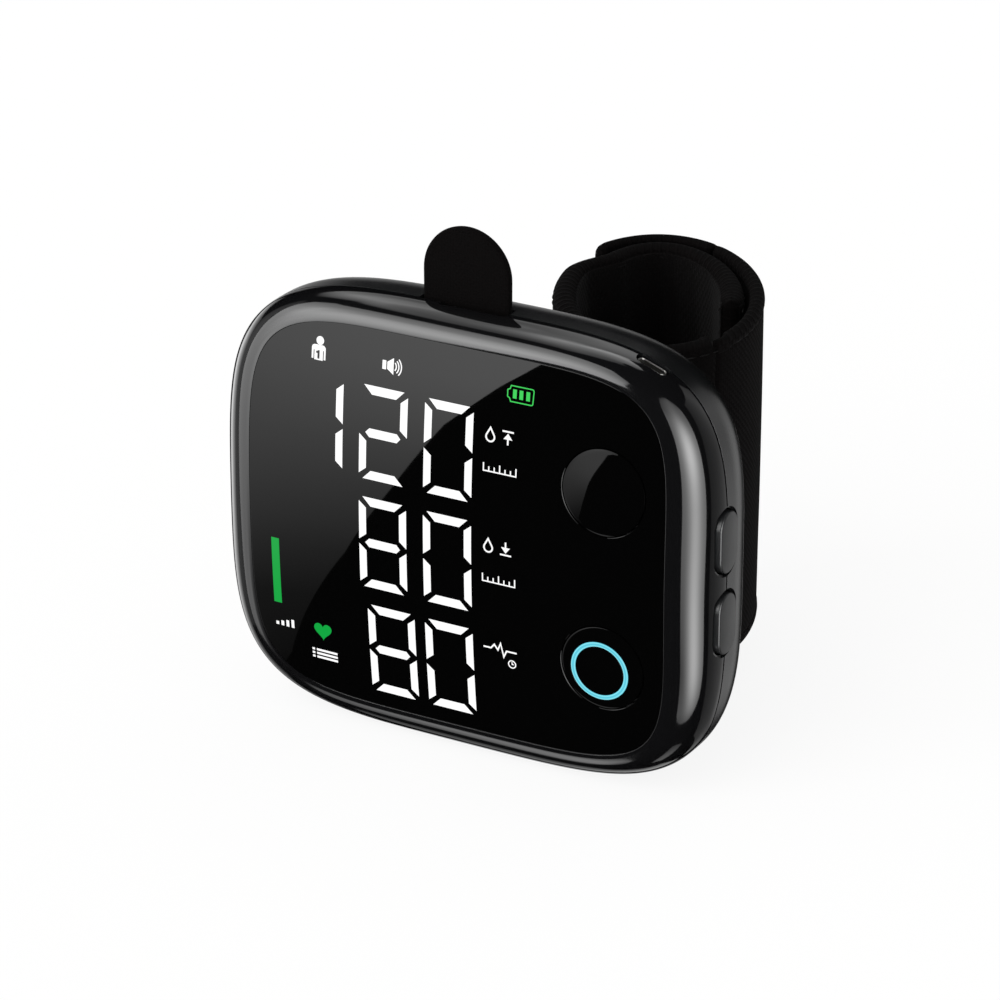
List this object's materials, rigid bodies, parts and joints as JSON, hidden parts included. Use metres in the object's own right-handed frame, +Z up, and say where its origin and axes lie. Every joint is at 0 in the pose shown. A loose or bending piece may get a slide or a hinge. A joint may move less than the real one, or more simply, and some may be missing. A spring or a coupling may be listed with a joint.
{
  "type": "wrist blood pressure monitor",
  "caption": "Rounded wrist blood pressure monitor: glossy housing with lit digits, round and side keys, internal air pump and a wrap cuff behind that opens.",
  "frame": {"origin": "middle of the small flat under the rear housing that the monitor stands on", "axes": "+X to the viewer's right, +Y away from the viewer through the cuff, +Z up"},
  "size_m": [0.0863, 0.0726, 0.0842],
  "materials": {
    "gloss_shell": "moulded ABS, polished, glossy near-black",
    "satin_shell": "moulded ABS, near-black, softer gloss",
    "lens_acrylic": "smoked acrylic, polished",
    "gasket_foam": "adhesive foam",
    "mask_black": "matt black moulding",
    "light_guide": "white translucent moulding, lit",
    "board_laminate": "printed board, green solder mask",
    "key_gloss": "polished black acrylic",
    "ring_cyan": "cyan translucent ring, lit",
    "side_key_satin": "satin moulded ABS",
    "switch_steel": "stamped steel",
    "motor_steel": "drawn steel can",
    "crank_acetal": "moulded acetal",
    "pump_plastic": "moulded nylon",
    "valve_steel": "plated steel",
    "manifold_nylon": "moulded nylon",
    "sensor_body": "moulded sensor housing",
    "hose_silicone": "translucent silicone",
    "battery_foil": "laminated foil pouch",
    "speaker_frame": "moulded frame",
    "socket_shell": "drawn stainless shell",
    "screw_steel": "zinc plated steel",
    "tongue_cloth": "black woven cloth, stiffened",
    "latch_gloss": "polished black ABS",
    "cuff_cloth": "black brushed nylon loop cloth",
    "curler_sheet": "preformed polypropylene sheet",
    "bladder_film": "welded polyurethane film",
    "lining_cloth": "soft black knitted nylon",
    "hook_tape": "moulded nylon hook tape",
    "saddle_plastic": "moulded ABS, fine grain"
  },
  "bodies": {
    "device": {"display_lens": "lens_acrylic", "lens_gasket": "gasket_foam", "front_housing": "gloss_shell", "rear_housing": "satin_shell", "housing_screw_1": "screw_steel", "housing_screw_2": "screw_steel", "housing_screw_3": "screw_steel", "housing_screw_4": "screw_steel", "strap_tongue": "tongue_cloth", "tongue_latch": "latch_gloss", "display_mask": "mask_black", "segment_light_guide": "light_guide", "main_board": "board_laminate", "key_switch_1": "switch_steel", "key_switch_2": "switch_steel", "key_switch_3": "switch_steel", "key_switch_4": "switch_steel", "side_key_board": "board_laminate", "pump_motor": "motor_steel", "pump_head": "pump_plastic", "pump_outlet_cap": "pump_plastic", "air_manifold": "manifold_nylon", "pressure_sensor": "sensor_body", "valve_body": "valve_steel", "pump_hose": "hose_silicone", "cuff_hose": "hose_silicone", "battery": "battery_foil", "speaker": "speaker_frame", "charge_socket": "socket_shell", "cuff_cover": "cuff_cloth", "cuff_curler": "curler_sheet", "cuff_bladder": "bladder_film", "cuff_lining": "lining_cloth", "cuff_saddle": "saddle_plastic", "saddle_screw_1": "screw_steel", "saddle_screw_2": "screw_steel", "air_nipple": "pump_plastic"},
    "memory_key": {"memory_button": "key_gloss"},
    "start_key": {"start_button": "key_gloss", "start_ring": "ring_cyan"},
    "upper_side_key": {"side_button_upper": "side_key_satin"},
    "lower_side_key": {"side_button_lower": "side_key_satin"},
    "pump_rotor": {"pump_crank": "crank_acetal"},
    "vent_plunger": {"valve_plunger": "valve_steel"},
    "cuff_panel": {"cuff_side_panel": "cuff_cloth"},
    "cuff_end": {"cuff_free_end": "cuff_cloth", "hook_patch": "hook_tape"}
  },
  "joints": [
    {"name": "memory_press", "type": "slide", "parent": "device", "child": "memory_key", "axis": [0, 1, 0], "range_m": [0, 0.0004], "stiffness_N_per_m": 2000},
    {"name": "start_press", "type": "slide", "parent": "device", "child": "start_key", "axis": [0, 1, 0], "range_m": [0, 0.0004], "stiffness_N_per_m": 2000},
    {"name": "upper_side_press", "type": "slide", "parent": "device", "child": "upper_side_key", "axis": [-1, 0, 0], "range_m": [0, 0.0005], "stiffness_N_per_m": 2000},
    {"name": "lower_side_press", "type": "slide", "parent": "device", "child": "lower_side_key", "axis": [-1, 0, 0], "range_m": [0, 0.0005], "stiffness_N_per_m": 2000},
    {"name": "pump_spin", "type": "hinge", "parent": "device", "child": "pump_rotor", "pos_m": [-0.012, 0.00277, 0.0194], "axis": [1, 0, 0], "continuous": true},
    {"name": "vent_slide", "type": "slide", "parent": "device", "child": "vent_plunger", "axis": [-1, 0, 0], "range_m": [0, 0.001], "stiffness_N_per_m": 200},
    {"name": "cuff_open", "type": "hinge", "parent": "device", "child": "cuff_panel", "pos_m": [0.02829, 0.02524, 0.0364], "axis": [0, 0, -1], "range_deg": [0, 45]},
    {"name": "cuff_peel", "type": "hinge", "parent": "cuff_panel", "child": "cuff_end", "pos_m": [0.00693, 0.06198, 0.0364], "axis": [0, 0, -1], "range_deg": [0, 90]}
  ],
  "couplings": [
    {"joint": "cuff_peel", "follows": "cuff_open", "ratio": 2}
  ]
}
